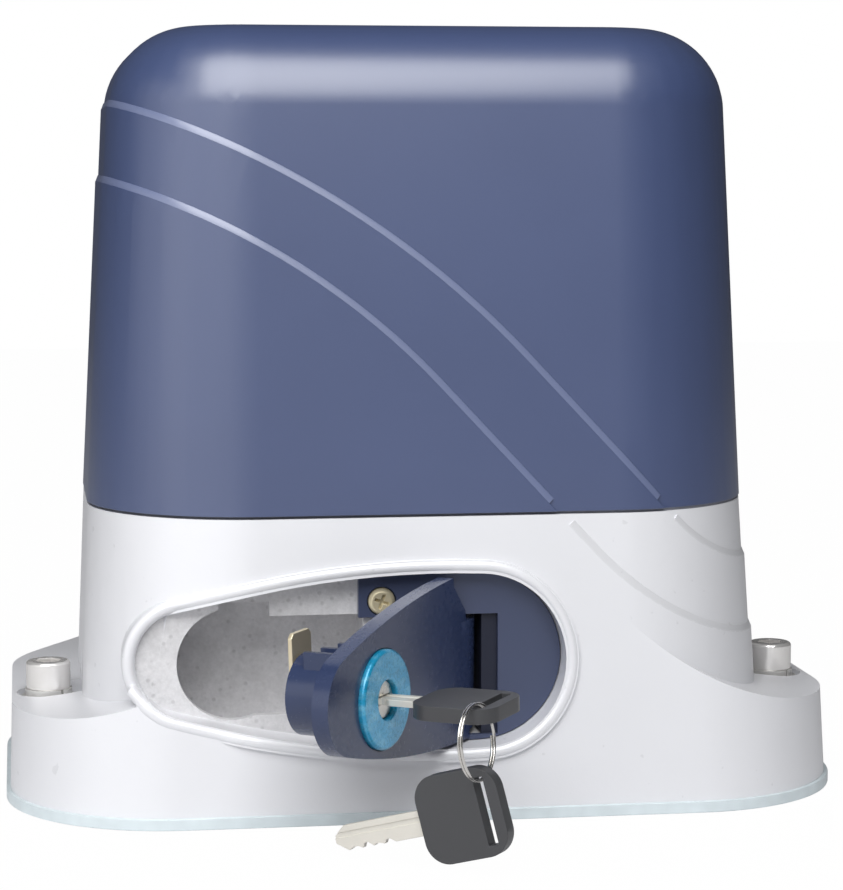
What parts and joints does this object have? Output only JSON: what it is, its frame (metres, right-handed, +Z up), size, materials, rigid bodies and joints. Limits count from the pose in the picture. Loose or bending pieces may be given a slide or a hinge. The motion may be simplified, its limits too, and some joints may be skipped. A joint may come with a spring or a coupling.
{
  "type": "sliding gate motor",
  "caption": "Sliding gate motor: cast gearbox on a plated base plate under a plastic cover, with a key-locked release lever, hanging keys and a rear output pinion.",
  "frame": {"origin": "centre of the four anchor holes, on the underside of the base plate", "axes": "+Z up; -Y towards the front with the release lever; +X to the right seen from the front; the output shaft runs along Y out of the rear"},
  "size_m": [0.3, 0.3131, 0.273],
  "materials": {
    "galvanised": "bluish zinc plate, semi-matt",
    "steel": "plain machined steel",
    "cast_paint": "pale silver-grey paint, satin",
    "cover_blue": "moulded, fine matt grain",
    "rubber": "matt",
    "nickel": "nickel plated",
    "insert_blue": "moulded, matt",
    "yellow_zinc": "yellow passivated zinc",
    "lever_blue": "moulded, glossy",
    "lock_cyan": "moulded, glossy",
    "brass": "plain brass",
    "key_plastic": "moulded, fine grain",
    "cast_alu": "raw die casting",
    "lamination": "varnished sheet stack",
    "copper": "enamelled copper",
    "board_green": "solder resist",
    "black_plastic": "moulded"
  },
  "bodies": {
    "housing": {"base_plate": "galvanised", "weld_nuts": "steel", "gearbox_casting": "cast_paint", "top_cover": "cover_blue", "cover_gasket": "rubber", "ear_bolts": "nickel", "ear_flat_washers": "nickel", "ear_spring_washers": "nickel", "release_insert": "insert_blue", "insert_screw": "yellow_zinc", "lever_hinge_pin": "steel", "clutch_spring": "steel", "shaft_bearing_outers": "steel", "shaft_bearing_cages": "rubber", "shaft_seal": "rubber", "motor_flange": "cast_alu", "motor_stator": "lamination", "motor_windings": "copper", "motor_cap": "cast_alu", "motor_bearing_outers": "steel", "board_bracket": "galvanised", "control_board": "board_green", "board_standoffs": "nickel", "board_screws": "nickel", "board_relays": "black_plastic", "terminal_block": "board_green", "transformer": "lamination", "run_capacitor": "cast_alu", "capacitor_cup": "black_plastic", "cable_grommet": "rubber", "cover_screws": "nickel", "limit_switch_housing": "black_plastic"},
    "lever": {"release_lever": "lever_blue", "lock_face_ring": "lock_cyan", "lock_barrel": "nickel"},
    "lock_plug_set": {"lock_plug": "brass", "lock_cam": "brass", "cam_screw": "nickel"},
    "key_1": {"key_1_head": "key_plastic", "key_1_blade": "nickel"},
    "ring": {"key_ring": "nickel"},
    "key_2": {"key_2_head": "key_plastic", "key_2_blade": "nickel"},
    "clutch": {"clutch_plunger": "steel", "clutch_cone": "steel"},
    "output_train": {"output_shaft": "steel", "worm_wheel": "brass", "output_pinion": "galvanised", "pinion_key": "steel", "pinion_washer": "galvanised", "pinion_bolt": "galvanised", "shaft_bearing_inners": "steel", "shaft_spacer": "steel"},
    "rotor": {"motor_rotor": "lamination", "motor_shaft": "steel", "motor_bearing_inners": "steel"},
    "limit_arm": {"limit_switch_arm": "nickel"}
  },
  "joints": [
    {"name": "lever_hinge", "type": "hinge", "parent": "housing", "child": "lever", "pos_m": [-0.0042, -0.072, 0.05], "axis": [0, -0.0454, 0.999], "range_deg": [-54.5, 0]},
    {"name": "lock_turn", "type": "hinge", "parent": "lever", "child": "lock_plug_set", "pos_m": [-0.02735, -0.13358, 0.05058], "axis": [0.8133, -0.5816, 0.019], "range_deg": [-90, 0]},
    {"name": "key_pull", "type": "slide", "parent": "lock_plug_set", "child": "key_1", "axis": [0.8133, -0.5816, 0.019], "range_m": [0, 0.032]},
    {"name": "ring_swing", "type": "hinge", "parent": "key_1", "child": "ring", "pos_m": [-0.00266, -0.16689, 0.05085], "axis": [0.8133, -0.5816, 0.019], "range_deg": [-12, 12]},
    {"name": "spare_key_swing", "type": "hinge", "parent": "ring", "child": "key_2", "pos_m": [-0.00064, -0.16834, 0.03057], "axis": [0.5807, 0.8141, 0], "range_deg": [-36, 0]},
    {"name": "clutch_slide", "type": "slide", "parent": "housing", "child": "clutch", "axis": [0, 1, 0], "range_m": [0, 0.004], "deforming": ["clutch_spring"]},
    {"name": "output_drive", "type": "hinge", "parent": "housing", "child": "output_train", "pos_m": [-0.0042, 0, 0.052], "axis": [0, 1, 0], "continuous": true},
    {"name": "motor_spin", "type": "hinge", "parent": "housing", "child": "rotor", "pos_m": [-0.0522, 0.015, 0.1], "axis": [0, 0, 1], "continuous": true},
    {"name": "limit_arm_swing", "type": "hinge", "parent": "housing", "child": "limit_arm", "pos_m": [0.056, 0.0977, 0.1], "axis": [0, 0, 1], "range_deg": [-25, 25], "stiffness_Nm_per_rad": 0.05}
  ],
  "couplings": [
    {"joint": "motor_spin", "follows": "output_drive", "ratio": 38},
    {"joint": "clutch_slide", "follows": "lever_hinge", "m_per_rad": -0.004205},
    {"joint": "spare_key_swing", "follows": "lever_hinge", "ratio": 0.63}
  ]
}
